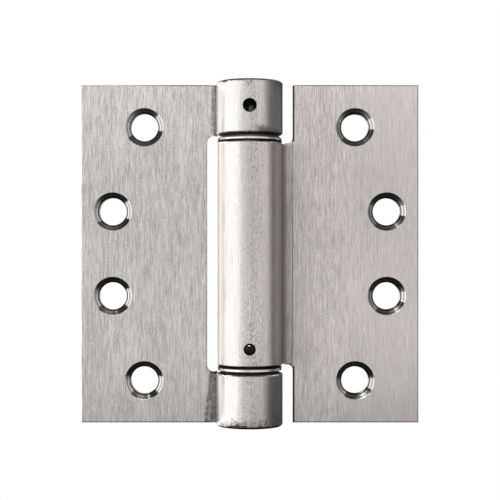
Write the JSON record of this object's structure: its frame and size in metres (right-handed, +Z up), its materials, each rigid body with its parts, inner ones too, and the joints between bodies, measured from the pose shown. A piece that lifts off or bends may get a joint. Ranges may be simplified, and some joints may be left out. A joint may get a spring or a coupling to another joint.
{
  "type": "spring hinge",
  "caption": "Self-closing butt hinge with square-cornered steel leaves, countersunk screw holes and a rolled barrel holding a torsion spring that a hex-socket adjuster winds.",
  "frame": {"origin": "on the pin axis at the middle of the hinge's height, which is the centre of its box when the leaves are open flat", "axes": "+Z up along the pin axis, +X towards the door leaf, -Y out of the leaves' exposed faces"},
  "size_m": [0.1016, 0.0198, 0.103],
  "materials": {
    "leaf_steel": "satin stainless steel with an upright grain",
    "bush_steel": "turned bright",
    "dark_steel": "blackened",
    "turned_steel": "as turned",
    "spring_steel": "oil tempered",
    "black_pin": "gloss black"
  },
  "bodies": {
    "frame": {"frame_leaf": "leaf_steel", "pivot_stud": "turned_steel", "upper_thrust_washer": "dark_steel", "lower_thrust_washer": "dark_steel"},
    "door": {"door_leaf": "leaf_steel", "upper_bush": "bush_steel", "lower_bush": "bush_steel", "spring_anchor": "turned_steel", "anchor_pin": "black_pin", "spring_mandrel": "turned_steel", "torsion_spring": "spring_steel"},
    "adjuster": {"tension_adjuster": "turned_steel"}
  },
  "joints": [
    {"name": "leaf_swing", "type": "hinge", "parent": "frame", "child": "door", "pos_m": [0, 0, 0], "axis": [0, 0, -1], "range_deg": [0, 180]},
    {"name": "tension_turn", "type": "hinge", "parent": "door", "child": "adjuster", "pos_m": [0, 0, 0], "axis": [0, 0, -1], "range_deg": [0, 180], "stiffness_Nm_per_rad": 1.05, "deforming": ["torsion_spring"]}
  ]
}
